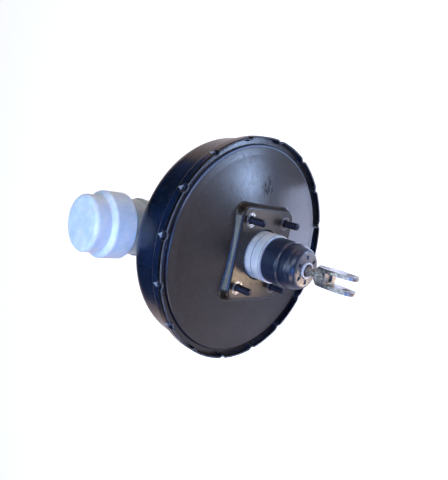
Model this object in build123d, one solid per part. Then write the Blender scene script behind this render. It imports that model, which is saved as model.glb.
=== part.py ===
from build123d import *
import os
from math import cos, pi, tan

# Vacuum brake booster with its tandem master cylinder and fluid reservoir.
# Millimetres. +Y is forward, the way the pedal pushes, +Z is up and +X is right.
# The origin is the centre of the face that lies against the bulkhead.

# Bulkhead side
stud_span_x = 73.0
stud_span_z = 57.0
stud_dia = 8.0
stud_collar_dia = 8.8
stud_reach = 18.0
stud_head_dia = 13.0
stud_head_thick = 3.0
stud_edge = 13.5
stud_ring_dia = 15.0
stud_ring_width = 0.9
stud_ring_depth = 0.5
plinth_corner = 15.0
plinth_rise = 6.5
plinth_draft = 20.0
plinth_edge = 3.2
plinth_tool_depth = 12.5
plinth_foot_radius = 3.0

# Shells: pressed sheet steel
rear_sheet = 1.6
front_sheet = 1.4
rim_dia = 250.0
rim_setback = 15.5
rim_channel_depth = 7.0
rim_corner = 2.6
rim_step = 5.5
ledge_corner = 2.2
front_face_depth = 62.5
front_pad_dia = 104.0
front_pad_step = 2.5
front_pad_corner = 4.0
front_corner = 17.0
flange_width = 7.3
flange_corner = 1.0
dome_margin = 4.0
dome_edge_drop = 12.0
dome_root_radius = 30.0
dome_edge_radius = 25.0
shoulder_width = 10.0
shoulder_fall = 1.3
shoulder_corner = 2.4

# Crimping lances round the rim
lance_count = 16
lance_first_angle = 17.7
lance_width = 9.0
lance_flat = 2.0
lance_depth = 3.4
lance_edge_depth = 2.0

# Reinforcement plates
rear_plate_sheet = 2.6
rear_plate_margin = 6.0
seal_room = 4.75
seal_tube_wall = 2.2
seal_tube_length = 12.8
seal_hole_gap = 1.75
seal_length = 9.3
seal_skin = 1.2
seal_lip = 1.3
seal_base = 2.6
front_plate_sheet = 2.6
front_plate_boss_dia = 56.0
front_plate_margin = 2.0

# Power piston
piston_stroke = 28.0
stroke_gap = 0.45
sleeve_dia = 52.5
sleeve_reach = 19.5
sleeve_lines = (-7.6, -17.8)
line_depth = 0.25
spigot_dia = 44.8
spigot_length = 6.0
filter_bore_dia = 39.0
retainer_bore_dia = 34.4
valve_bore_dia = 28.4
piston_flange_dia = 74.0
piston_flange_thick = 3.5
passage_dia = 7.0
passage_radius = 17.2
nose_dia = 32.0
reaction_bore_dia = 25.0
reaction_seat = 32.0
reaction_disc_thick = 4.0
vacuum_seat_dia = 24.8
seat_wall = 1.4
seat_y = 6.3
web_y = 12.0
plate_sheet = 1.2
plate_y = 23.7
plate_rim_length = 16.5
plate_corner = 4.0
plate_dish_dia = 110.0
plate_dish = 4.0
plate_dish_slope = 8.0
plate_dish_land = 12.0
plate_bend = 3.0

# Diaphragm
rubber_skin = 1.5
fold_room = 14.3
fold_front = 44.0
fold_radius = 4.0
bead_thick = 3.6
hub_bead_dia = 62.0
hub_bead_thick = 3.5

# Control valve
plunger_dia = 16.2
plunger_neck_dia = 10.0
plunger_gap = 1.6
valve_travel = 1.5
ball_dia = 9.2
ball_y = 10.6
socket_flare = 1.4
key_thick = 2.2
key_width = 16.0
key_reach = 33.0
poppet_hole_dia = 10.8
poppet_face_y = 5.9
poppet_face_thick = 1.9
poppet_skirt = 1.5
poppet_shoulder_y = -3.7
poppet_bead_thick = 2.3
poppet_spring_dia = 18.6
poppet_spring_turns = 4
poppet_wire = 1.0
retainer_sheet = 0.9
retainer_hole_dia = 16.0
rod_spring_dia = 16.0
rod_spring_turns = 4
rod_spring_wire = 1.5
rod_collar_y = -21.5
rod_collar_dia = 17.6
rod_collar_thick = 1.4
filter_inner_dia = 24.0
filter_length = 15.0

# Input rod, boot and clevis
rod_dia = 8.0
rod_neck_dia = 6.0
rod_thread_length = 12.0
boot_mouth_dia = 49.0
boot_end_y = -60.0
boot_end_dia = 37.0
boot_wall = 1.8
boot_barrel = 21.0
boot_fold_pitch = 5.0
boot_fold_depth = 1.7
boot_second_fold = 32.6
boot_taper = 0.9
boot_bend = 1.2
boot_end_radius = 2.0
end_ring_dia = 16.8
end_ring_bore_dia = 13.8
end_ring_proud = 2.0
end_ring_flange = 0.9
end_ring_lip = 2.0
clevis_start_y = -74.5
clevis_hub_dia = 20.0
clevis_hub_chamfer = 1.5
clevis_pin_dia = 8.0
clevis_pin_y = -108.0
clevis_gap = 10.5
clevis_ear = 4.0
clevis_slot_y = -88.5
clevis_tip_radius = 9.0
clevis_shoulder_width = 23.0
clevis_edge = 1.0

# Output rod and return spring
output_rod_dia = 12.0
output_tip_dia = 9.6
output_tip_y = 88.0
output_head_collar = 1.0
retainer_skirt = 5.0
retainer_hole_gap = 1.5
return_wire = 3.4
return_mean_dia = 54.0
return_turns = 4.5

# Master cylinder
cylinder_bore_dia = 22.22
cylinder_dia = 33.0
cylinder_nose_chamfer = 3.0
cylinder_spigot_dia = 37.8
cylinder_spigot_reach = 10.0
cylinder_bore_length = 113.0
cylinder_end_wall = 7.0
cylinder_flange_thick = 9.0
cylinder_stud_span = 76.0
cylinder_flange_hub_dia = 50.0
cylinder_flange_ear = 10.0
flange_hole_gap = 0.2
snap_setback = 1.2
snap_groove_dia = 25.0
snap_inner_dia = 18.6
snap_thick = 1.2
snap_opening = 4.0
o_ring_room = 3.1
o_ring_seat_depth = 2.4
primary_setback = 3.3
primary_front = 108.0
secondary_rear = 125.0
secondary_front = 152.0
piston_land = 3.2
piston_slope = 1.0
piston_rib = 1.5
piston_shoulder = 1.2
piston_shoulder_dia = 18.8
spool_dia = 16.0
spring_spigot = 6.3
spring_spigot_dia = 10.0
rod_socket_dia = 12.8
cup_length = 4.5
cup_inner_dia = 15.4
cup_base = 1.6
cup_groove_root = 0.2
cup_groove_mouth = 0.5
cylinder_spring_dia = 14.0
cylinder_spring_wire = 1.6
primary_turns = 5
secondary_turns = 6
feed_hole_dia = 3.6
outlet_hole_dia = 10.0
outlet_hole_depth = 13.0
outlet_face_x = -29.0
outlet_first_y = 104.0
outlet_second_y = 158.0
outlet_boss_dia = 18.0
front_stud_reach = 18.0
nut_flats = 13.0
nut_height = 6.5

# Reservoir
reservoir_y = 113.0
inlet_span = 42.0
inlet_boss_dia = 22.0
inlet_boss_top = 27.0
inlet_bore_dia = 17.2
inlet_bore_depth = 9.0
inlet_pipe_dia = 11.2
inlet_pipe_wall = 1.9
inlet_pipe_z = 19.5
grommet_flange_thick = 2.0
reservoir_dia = 62.0
reservoir_wall = 2.2
reservoir_base_inset = 3.0
reservoir_base_height = 16.0
reservoir_bead = 1.3
reservoir_bead_z = 87.0
reservoir_bead_height = 3.0
reservoir_bead_slope = 1.5
neck_inset = 0.7
neck_slope = 2.0
neck_step_z = 132.0
neck_step = 3.3
neck_top_z = 142.0
collar_z = 108.8
collar_proud = 2.9
collar_thick = 2.4
collar_start_x = -2.0
cap_ring_proud = 5.4
cap_ring_z = 112.0
cap_ring_height = 23.0
cap_ring_corner = 3.0
cap_crown_wall = 3.0
cap_crown_corner = 4.5
cap_root_corner = 1.2
cap_top_z = 156.0
cap_wall = 2.2
cap_slope = 3.5
cap_seal_thick = 2.0
cap_seal_inset = 0.4
cap_seal_width = 6.0
cap_rib = 5.0

# Vacuum check valve
check_x = -58.0
check_z = -48.0
check_hole_dia = 20.0
check_body_dia = 15.0
check_head_proud = 1.0
check_head_slope = 3.0
check_flange_dia = 26.0
check_flange_thick = 2.0
check_tail = 3.0
check_elbow_y = 100.0
check_crown = 2.0
check_nipple_dia = 10.4
check_nipple_bore_dia = 6.4
check_nipple_reach = 34.0
check_shoulder_dia = 14.0
check_shoulder_reach = 10.0
check_seat_y = 84.0
check_chamber_dia = 12.4
check_disc_thick = 1.6
check_disc_lift = 2.0
check_passage_dia = 9.0
grommet_lip = 2.2
grommet_lip_inset = 0.8

# Clearances, each on the radius or along the axis
soft_gap = 0.3
running_gap = 0.05
slip_gap = 0.15

# Places that follow from the sizes above
plinth_width = stud_span_x + 2 * stud_edge
plinth_height = stud_span_z + 2 * stud_edge
plinth_slope = tan(plinth_draft * pi / 180)
rear_plate_front_y = rear_sheet + rear_plate_sheet
seal_end_y = rear_sheet + soft_gap + seal_length
seal_tube_end = rear_plate_front_y + seal_tube_length
seal_hole_dia = sleeve_dia + 2 * seal_hole_gap
seal_tube_bore_dia = sleeve_dia + 2 * seal_room
tube_outer_dia = seal_tube_bore_dia + 2 * seal_tube_wall
rim_y = rim_setback
flange_rear_y = rim_y + rim_channel_depth
flange_front_y = flange_rear_y + rear_sheet
bead_rear_y = flange_front_y + soft_gap
bead_front_y = bead_rear_y + bead_thick
ledge_y = bead_front_y + soft_gap
front_wall_dia = rim_dia - 2 * rim_step
flange_dia = rim_dia - 2 * front_sheet - 2 * soft_gap
shoulder_dia = flange_dia - 2 * flange_width
plate_rim_dia = front_wall_dia - 2 * fold_room
dome_start_dia = plinth_height + 2 * dome_margin
front_face_y = rim_y + front_face_depth
front_pad_back_y = front_face_y - front_pad_step
front_inner_y = front_face_y - front_sheet
front_plate_y = front_inner_y - front_plate_sheet
key_y = seal_tube_end + slip_gap
retainer_y = poppet_shoulder_y - poppet_bead_thick - 2 * soft_gap - retainer_sheet
plate_front_y = plate_y + plate_sheet
piston_flange_y = plate_front_y + piston_flange_thick
plunger_front = reaction_seat - plunger_gap
spigot_end_y = -sleeve_reach - spigot_length
cylinder_rear_y = front_face_y - cylinder_spigot_reach
nose_front = cylinder_rear_y - piston_stroke - stroke_gap - retainer_sheet - slip_gap
o_ring_seat_dia = cylinder_spigot_dia + 2 * o_ring_room
snap_y = cylinder_rear_y + snap_setback
primary_rear = cylinder_rear_y + primary_setback
cylinder_bore_end_y = cylinder_rear_y + cylinder_bore_length
cylinder_front_y = cylinder_bore_end_y + cylinder_end_wall
flange_front_face_y = front_face_y + cylinder_flange_thick
grommet_top_z = inlet_boss_top + soft_gap + grommet_flange_thick
reservoir_base_z = grommet_top_z + soft_gap
neck_dia = reservoir_dia - 2 * neck_inset
neck_top_dia = neck_dia - 2 * neck_step
cap_ring_dia = neck_dia + 2 * cap_ring_proud
cap_crown_dia = neck_top_dia + 2 * cap_crown_wall
stud_places = [(sx * stud_span_x / 2, sz * stud_span_z / 2) for sx in (-1, 1) for sz in (-1, 1)]
front_stud_places = [(side * cylinder_stud_span / 2, 0) for side in (-1, 1)]
inlet_places = [reservoir_y - inlet_span / 2, reservoir_y + inlet_span / 2]
outlet_places = (outlet_first_y, outlet_second_y)


def turned(*points):
    """Solid of revolution about the Y axis from (radius, y) corners."""
    return revolve(make_face(Polyline(*points, close=True)), axis=Axis.Y)


def ring(outer_dia, inner_dia, y0, y1):
    """Plain ring about the Y axis."""
    return turned((inner_dia / 2, y0), (outer_dia / 2, y0), (outer_dia / 2, y1), (inner_dia / 2, y1))


def rod(dia, y0, y1, x=0.0, z=0.0):
    """Round bar along Y."""
    return Pos(x, y0, z) * extrude(Plane.XZ * Circle(dia / 2), -(y1 - y0))


def bar_z(dia, x, y, z0, z1):
    """Round bar along Z."""
    return Pos(x, y, z0) * extrude(Circle(dia / 2), z1 - z0)


def bar_x(dia, y, z, x0, x1):
    """Round bar along X."""
    return Pos(x0, y, z) * extrude(Plane.YZ * Circle(dia / 2), x1 - x0)


def pressed(points, radii, sheet, side):
    """Revolved pressing: a bent line of (radius, y) corners given the sheet's thickness."""
    line = FilletPolyline(*points, radius=radii)
    return revolve(make_face(offset(line, amount=sheet, side=side).edges()), axis=Axis.Y)


def coil(mean_dia, wire, y0, y1, turns):
    """Coil spring along Y, its wire's outside between y0 and y1."""
    height = y1 - y0 - wire
    path = Helix(height / turns, height, mean_dia / 2)
    section = Plane(path @ 0, z_dir=path % 0) * Circle(wire / 2)
    return Pos(0, y0 + wire / 2, 0) * Rot(-90, 0, 0) * sweep(section, path=path, is_frenet=True)


def turned_z(*points):
    """Solid of revolution about the reservoir's upright axis from (radius, z) corners."""
    return Pos(0, reservoir_y, 0) * revolve(Plane.XZ * make_face(Polyline(*points, close=True)), axis=Axis.Z)


def block(x0, x1, y0, y1, z0, z1):
    """Box between two corners."""
    return Pos((x0 + x1) / 2, (y0 + y1) / 2, (z0 + z1) / 2) * Box(x1 - x0, y1 - y0, z1 - z0)


def rounded_plate(width, height, corner, y0, y1, draft=0.0):
    """Rounded rectangle that gets smaller from y1 back to y0."""
    return Pos(0, y1, 0) * extrude(Plane.XZ * RectangleRounded(width, height, corner), y1 - y0, taper=draft)


def lance(angle):
    """One crimping lance: the slot cut for it, and the tab of lip pressed in behind the rear shell's flange."""
    radius = rim_dia / 2
    half = lance_width / 2
    chord = (radius ** 2 - half ** 2) ** 0.5
    slit_y = flange_rear_y - soft_gap

    def section(y, depth):
        corners = [(chord, -half), (radius - depth, -lance_flat / 2), (radius - depth, lance_flat / 2), (chord, half)]
        inner = [(r - front_sheet, u) for r, u in reversed(corners)]
        return make_face(Polyline(*[(r, y, u) for r, u in corners + inner], close=True))

    tab = loft([section(rim_y, lance_edge_depth), section(slit_y, lance_depth)], ruled=True)
    slot = block(chord - 2 * front_sheet, radius + 1, rim_y - 1, slit_y, -half, half)
    return Rot(0, -angle, 0) * slot, Rot(0, -angle, 0) * tab


def front_shell():
    wall_r = front_wall_dia / 2
    hole_r = cylinder_spigot_dia / 2 + slip_gap
    pad_r = front_pad_dia / 2
    profile = [
        (hole_r, front_face_y),
        (pad_r, front_face_y),
        (pad_r + 2 * front_pad_step, front_pad_back_y),
        (wall_r, front_pad_back_y),
        (wall_r, ledge_y + front_sheet),
        (rim_dia / 2, ledge_y + front_sheet),
        (rim_dia / 2, rim_y),
    ]
    corners = (front_pad_corner, front_pad_corner, front_corner, ledge_corner, rim_corner)
    shell = pressed(profile, corners, front_sheet, Side.RIGHT)
    for index in range(lance_count):
        slot, tab = lance(lance_first_angle + index * 360 / lance_count)
        shell = shell - slot + tab
    for x, z in front_stud_places:
        shell -= rod(stud_collar_dia + 2 * running_gap, front_plate_y, front_face_y + 1, x, z)
    shell -= rod(check_hole_dia, front_plate_y, front_face_y + 1, x=check_x, z=check_z)
    return shell


def dome_line():
    """Outer line of the rear shell's dome, from its axis to the flange's edge."""
    shoulder_r = shoulder_dia / 2
    shoulder_y = plinth_rise + dome_edge_drop
    return FilletPolyline(
        (0, plinth_rise),
        (dome_start_dia / 2, plinth_rise),
        (shoulder_r - shoulder_width, shoulder_y - shoulder_fall),
        (shoulder_r, shoulder_y),
        (shoulder_r, flange_rear_y),
        (flange_dia / 2, flange_rear_y),
        radius=(dome_root_radius, dome_edge_radius, shoulder_corner, flange_corner),
    )


def plinth_tool(inset, y0, y1):
    """Drafted block with rounded edges that shapes the plinth's outside, or its inside when inset."""
    spread = 2 * (y1 - y0) * plinth_slope - 2 * inset / cos(plinth_draft * pi / 180)
    tool = rounded_plate(plinth_width + spread, plinth_height + spread, plinth_corner - inset, y0, y1, plinth_draft)
    return fillet(tool.faces().sort_by(Axis.Y)[0].edges(), plinth_edge - inset)


def rear_shell():
    """Domed pressing whose centre is drawn out into the flat plinth that meets the bulkhead."""
    foot_y = plinth_tool_depth
    sheet = revolve(make_face(offset(dome_line(), amount=rear_sheet, side=Side.LEFT).edges()), axis=Axis.Y)
    rim_r = flange_dia / 2
    clear_y = -rear_sheet
    behind = revolve(make_face([*dome_line().edges(), Polyline((rim_r, flange_rear_y), (rim_r, clear_y), (0, clear_y),
                                                               (0, plinth_rise))]), axis=Axis.Y)
    plinth = plinth_tool(0, 0, foot_y) & Pos(0, rear_sheet / 2, 0) * behind
    shell = sheet + plinth
    shell = fillet(new_edges(sheet, plinth, combined=shell), plinth_foot_radius)
    shell -= plinth_tool(rear_sheet, rear_sheet, foot_y + rear_sheet)
    shell -= rod(seal_hole_dia, -1, foot_y)
    ring_r = stud_ring_dia / 2
    for x, z in stud_places:
        shell -= rod(stud_collar_dia + 2 * running_gap, -1, rear_plate_front_y, x, z)
        shell -= Pos(x, 0, z) * turned((ring_r - stud_ring_width, -1), (ring_r, -1), (ring_r, 0),
                                       (ring_r - stud_ring_width / 2, stud_ring_depth), (ring_r - stud_ring_width, 0))
    return shell


def rear_plate():
    """Plate inside the plinth: it carries the studs and, in its drawn tube, the seal."""
    plate = rounded_plate(
        plinth_width - 2 * rear_plate_margin, plinth_height - 2 * rear_plate_margin,
        plinth_corner - rear_plate_margin, rear_sheet, rear_plate_front_y,
    )
    plate += rod(tube_outer_dia, rear_sheet, seal_tube_end)
    plate -= rod(seal_tube_bore_dia, rear_sheet - 1, seal_tube_end + 1)
    for x, z in stud_places:
        plate -= rod(stud_collar_dia + 2 * running_gap, rear_sheet - 1, rear_plate_front_y + 1, x, z)
    return plate


def stud(x, z, seat_y, face_y, tip_y):
    """Stud with a round head on its seat, a pressed-in collar as far as the face, and a shank to its tip."""
    ahead = 1 if tip_y > seat_y else -1
    head = sorted((seat_y, seat_y - ahead * stud_head_thick))
    collar = sorted((seat_y, face_y))
    shank = sorted((face_y, tip_y))
    body = rod(stud_dia, *shank, x, z)
    tip = body.faces().sort_by(Axis.Y)[-1 if ahead > 0 else 0]
    return chamfer(tip.edges(), stud_dia / 10) + rod(stud_collar_dia, *collar, x, z) + rod(stud_head_dia, *head, x, z)


def rear_studs():
    return Compound(children=[stud(x, z, rear_plate_front_y, 0, -stud_reach) for x, z in stud_places])


def rear_seal():
    """U section seal: its outer leg stands in the plate's tube, its inner leg wipes the sleeve."""
    inner = sleeve_dia / 2 + soft_gap
    outer = seal_tube_bore_dia / 2 - soft_gap
    back = seal_end_y - seal_length
    lip_end = seal_end_y - seal_skin
    return turned((inner, back), (outer, back), (outer, seal_end_y), (outer - seal_skin, seal_end_y),
                  (outer - seal_skin, back + seal_base), (inner + seal_lip, back + seal_base),
                  (inner + seal_lip, lip_end), (inner, lip_end))


def rear_bearing():
    return ring(seal_tube_bore_dia - 2 * running_gap, sleeve_dia + 2 * running_gap,
                seal_end_y + soft_gap, seal_tube_end - soft_gap)


def diaphragm_plate():
    """Pressed plate with a raised ring and a deep rim that the diaphragm rolls over."""
    dish_r = plate_dish_dia / 2
    land_r = dish_r + plate_dish_land
    rim_r = plate_rim_dia / 2
    profile = [
        (sleeve_dia / 2 + slip_gap, plate_y),
        (dish_r - plate_dish_slope, plate_y),
        (dish_r, plate_y + plate_dish),
        (land_r, plate_y + plate_dish),
        (land_r + plate_dish_slope, plate_y),
        (rim_r, plate_y),
        (rim_r, plate_y + plate_rim_length),
    ]
    return pressed(profile, (*[plate_bend] * 4, plate_corner), plate_sheet, Side.LEFT)


def diaphragm():
    """Rubber skin: round the hub, along the plate, over a rolling fold and out to the clamped bead."""
    out_r = front_wall_dia / 2 - front_sheet - soft_gap
    in_r = plate_rim_dia / 2 + soft_gap
    back_y = plate_y - soft_gap
    hub_r = sleeve_dia / 2 + soft_gap
    bead_r = rim_dia / 2 - front_sheet - soft_gap
    corner = bead_thick / 3
    line = [(hub_r, back_y), (in_r, back_y), (in_r, fold_front), (out_r, fold_front), (out_r, bead_rear_y)]
    skin = pressed(line, (plate_corner + soft_gap, fold_radius, fold_radius), rubber_skin, Side.RIGHT)
    hub = ring(hub_bead_dia, 2 * hub_r, back_y - hub_bead_thick, back_y)
    bead = turned((out_r - rubber_skin, bead_rear_y), (bead_r, bead_rear_y), (bead_r, bead_front_y - corner),
                  (bead_r - corner, bead_front_y), (out_r + corner, bead_front_y), (out_r, bead_front_y - corner),
                  (out_r - rubber_skin, bead_front_y - corner))
    return skin + hub + bead


def valve_body():
    sleeve_r = sleeve_dia / 2
    spigot_r = spigot_dia / 2
    flange_r = piston_flange_dia / 2
    nose_r = nose_dia / 2
    bore_r = plunger_dia / 2 + running_gap
    seat_in = vacuum_seat_dia / 2 - seat_wall
    seat_out = vacuum_seat_dia / 2
    body = turned(
        (filter_bore_dia / 2, spigot_end_y), (spigot_r, spigot_end_y), (spigot_r, -sleeve_reach),
        (sleeve_r, -sleeve_reach), (sleeve_r, plate_front_y), (flange_r, plate_front_y),
        (flange_r, piston_flange_y), (nose_r, piston_flange_y), (nose_r, nose_front),
        (reaction_bore_dia / 2, nose_front), (reaction_bore_dia / 2, reaction_seat), (bore_r, reaction_seat),
        (bore_r, web_y), (seat_in, web_y), (seat_in, seat_y), (seat_out, seat_y), (seat_out, web_y),
        (valve_bore_dia / 2, web_y), (valve_bore_dia / 2, poppet_shoulder_y),
        (retainer_bore_dia / 2, poppet_shoulder_y), (retainer_bore_dia / 2, retainer_y),
        (filter_bore_dia / 2, retainer_y),
    )
    for y in sleeve_lines:
        body -= ring(sleeve_dia + 2, sleeve_dia - 2 * line_depth, y - line_depth, y + line_depth)
    for side in (-1, 1):
        body -= rod(passage_dia, seat_y, piston_flange_y + 1, x=side * passage_radius)
    slot = slip_gap + key_width / 2
    body -= block(-slot, slot, key_y - slip_gap, key_y + key_thick + slip_gap, -slot, sleeve_r + 1)
    return body


def stop_key():
    """Flat fork through the side of the valve body and round the plunger's neck."""
    half = key_width / 2
    neck = plunger_neck_dia / 2 + slip_gap
    key = block(-half, half, key_y, key_y + key_thick, -half, key_reach)
    key -= block(-neck, neck, key_y - 1, key_y + key_thick + 1, -half - 1, 0)
    key -= rod(2 * neck, key_y - 1, key_y + key_thick + 1)
    return key


def plunger():
    head_r = plunger_dia / 2
    neck_r = plunger_neck_dia / 2
    neck_back = key_y - valve_travel - 2 * slip_gap
    neck_front = key_y + key_thick + 2 * slip_gap
    back = seat_y - soft_gap
    body = turned((0, back), (head_r, back), (head_r, neck_back), (neck_r, neck_back), (neck_r, neck_front),
                  (head_r, neck_front), (head_r, plunger_front), (0, plunger_front))
    body -= Pos(0, ball_y, 0) * Sphere(ball_dia / 2 + running_gap)
    mouth = ball_y - ball_dia / 4
    throat_r = rod_neck_dia / 2 + slip_gap
    body -= turned((0, back - 1), (rod_dia / 2 + socket_flare, back - 1), (throat_r + soft_gap, mouth), (0, mouth))
    return body


def poppet():
    face_r = valve_bore_dia / 2 - soft_gap
    back = poppet_face_y - poppet_face_thick
    skirt = face_r - poppet_skirt
    bead_r = retainer_bore_dia / 2 - soft_gap
    bead_front = poppet_shoulder_y - soft_gap
    bead_back = bead_front - poppet_bead_thick
    return turned((poppet_hole_dia / 2, back), (poppet_hole_dia / 2, poppet_face_y), (face_r, poppet_face_y),
                  (face_r, bead_front), (bead_r, bead_front), (bead_r, bead_back), (skirt, bead_back), (skirt, back))


def poppet_retainer():
    return ring(retainer_bore_dia - 2 * running_gap, retainer_hole_dia, retainer_y, retainer_y + retainer_sheet)


def poppet_spring():
    front = poppet_face_y - poppet_face_thick - slip_gap
    back = retainer_y + retainer_sheet + slip_gap
    return coil(poppet_spring_dia, poppet_wire, back, front, poppet_spring_turns)


def rod_spring():
    back = rod_collar_y + rod_collar_thick + slip_gap
    return coil(rod_spring_dia, rod_spring_wire, back, retainer_y - slip_gap, rod_spring_turns)


def air_filter():
    back = spigot_end_y + soft_gap
    return ring(filter_bore_dia - 2 * soft_gap, filter_inner_dia, back, back + filter_length)


def boot():
    """Bellows: a plain barrel at the sleeve, then two folds on a taper, and a flat end round the rod's bush."""
    mouth_r = boot_mouth_dia / 2
    mouth_y = -sleeve_reach - soft_gap
    first_y = mouth_y - boot_barrel
    second_y = mouth_y - boot_second_fold
    half = boot_fold_pitch / 2
    end_side_r = mouth_r - boot_taper
    profile = [
        (mouth_r, mouth_y),
        (mouth_r, first_y + half),
        (mouth_r - boot_fold_depth, first_y),
        (mouth_r - boot_taper / 2, first_y - half),
        (end_side_r, second_y + half),
        (end_side_r - boot_fold_depth, second_y),
        (end_side_r - boot_taper, second_y - half),
        (boot_end_dia / 2, boot_end_y),
        (end_ring_dia / 2 + soft_gap, boot_end_y),
    ]
    return pressed(profile, (*[boot_bend] * 6, boot_end_radius), boot_wall, Side.RIGHT)


def end_ring():
    """Flanged bush in the boot's end, round the input rod."""
    inner_face = boot_end_y + boot_wall + slip_gap
    bush = ring(end_ring_dia, end_ring_bore_dia, boot_end_y - end_ring_proud, inner_face + end_ring_flange)
    return bush + ring(end_ring_dia + 2 * end_ring_lip, end_ring_bore_dia, inner_face, inner_face + end_ring_flange)


def input_rod():
    """Pushrod: threaded into the clevis, with a spring collar and a ball in the plunger."""
    shaft_r = rod_dia / 2
    neck_r = rod_neck_dia / 2
    collar_r = rod_collar_dia / 2
    collar_front = rod_collar_y + rod_collar_thick
    back = clevis_start_y - rod_thread_length
    body = turned((0, back), (shaft_r, back), (shaft_r, rod_collar_y), (collar_r, rod_collar_y),
                  (collar_r, collar_front), (shaft_r, collar_front), (shaft_r, poppet_face_y - poppet_face_thick),
                  (neck_r, poppet_face_y), (neck_r, ball_y), (0, ball_y))
    return body + Pos(0, ball_y, 0) * Sphere(ball_dia / 2)


def clevis():
    """Forged fork: round hub, shoulders wider than the hub, and ears that taper to round tips."""
    thick = clevis_gap + 2 * clevis_ear
    hub = rod(clevis_hub_dia, clevis_slot_y, clevis_start_y)
    hub = chamfer(hub.faces().sort_by(Axis.Y)[-1].edges(), clevis_hub_chamfer)
    tip_y = clevis_pin_y - clevis_tip_radius
    outline = make_hull([
        *(Pos(clevis_pin_y, 0) * Circle(clevis_tip_radius)).edges(),
        *(Pos(clevis_slot_y - clevis_shoulder_width / 4, 0) * Circle(clevis_shoulder_width / 2)).edges(),
        *(Pos(clevis_slot_y + clevis_hub_dia / 4, 0) * Circle(clevis_hub_dia / 2 - clevis_edge)).edges(),
    ])
    fork = Pos(-thick / 2, 0, 0) * extrude(Plane.YZ * outline, thick)
    round_dia = (thick ** 2 + clevis_shoulder_width ** 2) ** 0.5 - 2 * clevis_edge
    fork = fork & rod(round_dia, tip_y - 1, clevis_start_y)
    body = hub + fork
    body -= block(-clevis_gap / 2, clevis_gap / 2, tip_y - 1, clevis_slot_y,
                  -clevis_shoulder_width, clevis_shoulder_width)
    body -= bar_x(clevis_pin_dia + 2 * running_gap, clevis_pin_y, 0, -thick, thick)
    return body - rod(rod_dia + 2 * running_gap, clevis_slot_y - 1, clevis_start_y + 1)


def reaction_disc():
    return rod(reaction_bore_dia - 2 * slip_gap, reaction_seat, reaction_seat + reaction_disc_thick)


def output_rod():
    """Rod that the reaction disc pushes, with a domed tip in the primary piston."""
    head = reaction_seat + reaction_disc_thick
    head_r = reaction_bore_dia / 2 - slip_gap
    shaft_r = output_rod_dia / 2
    tip_r = output_tip_dia / 2
    shaft_end = cylinder_rear_y + (shaft_r - tip_r)
    body = turned((0, head), (head_r, head), (head_r, nose_front), (shaft_r + output_head_collar, nose_front),
                  (shaft_r, nose_front + output_head_collar), (shaft_r, shaft_end),
                  (tip_r, shaft_end + (shaft_r - tip_r)), (tip_r, output_tip_y - tip_r), (0, output_tip_y - tip_r))
    return body + Pos(0, output_tip_y - tip_r, 0) * Sphere(tip_r)


def rod_retainer():
    """Pressed cap that keeps the output rod's head in the nose."""
    nose_r = nose_dia / 2 + slip_gap
    hole_r = output_rod_dia / 2 + retainer_hole_gap
    face = nose_front + slip_gap
    front = face + retainer_sheet
    skirt_y = face - retainer_skirt
    return turned((hole_r, face), (nose_r, face), (nose_r, skirt_y), (nose_r + retainer_sheet, skirt_y),
                  (nose_r + retainer_sheet, front), (hole_r, front))


def return_spring():
    return coil(return_mean_dia, return_wire, piston_flange_y, front_plate_y, return_turns)


def front_plate():
    """Plate behind the front face: it carries the cylinder's studs and takes the return spring."""
    ear_r = stud_head_dia / 2 + front_plate_margin
    outline = make_hull([
        *Circle(front_plate_boss_dia / 2).edges(),
        *[edge for place in front_stud_places for edge in (Pos(*place) * Circle(ear_r)).edges()],
    ])
    plate = Pos(0, front_inner_y, 0) * extrude(Plane.XZ * outline, front_plate_sheet)
    plate -= rod(cylinder_spigot_dia + 2 * slip_gap, front_plate_y - 1, front_inner_y + 1)
    for x, z in front_stud_places:
        plate -= rod(stud_collar_dia + 2 * running_gap, front_plate_y - 1, front_inner_y + 1, x, z)
    return plate


def front_studs():
    tip_y = front_face_y + front_stud_reach
    return Compound(children=[stud(x, z, front_plate_y, front_face_y, tip_y) for x, z in front_stud_places])


def flange_nuts():
    top_y = flange_front_face_y + nut_height
    nuts = []
    for x, z in front_stud_places:
        hexagon = Plane.XZ * RegularPolygon(nut_flats / 2, 6, major_radius=False)
        nut = Pos(x, flange_front_face_y, z) * extrude(hexagon, -nut_height)
        nuts.append(nut - rod(stud_dia + 2 * running_gap, flange_front_face_y - 1, top_y + 1, x, z))
    return Compound(children=nuts)


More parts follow.
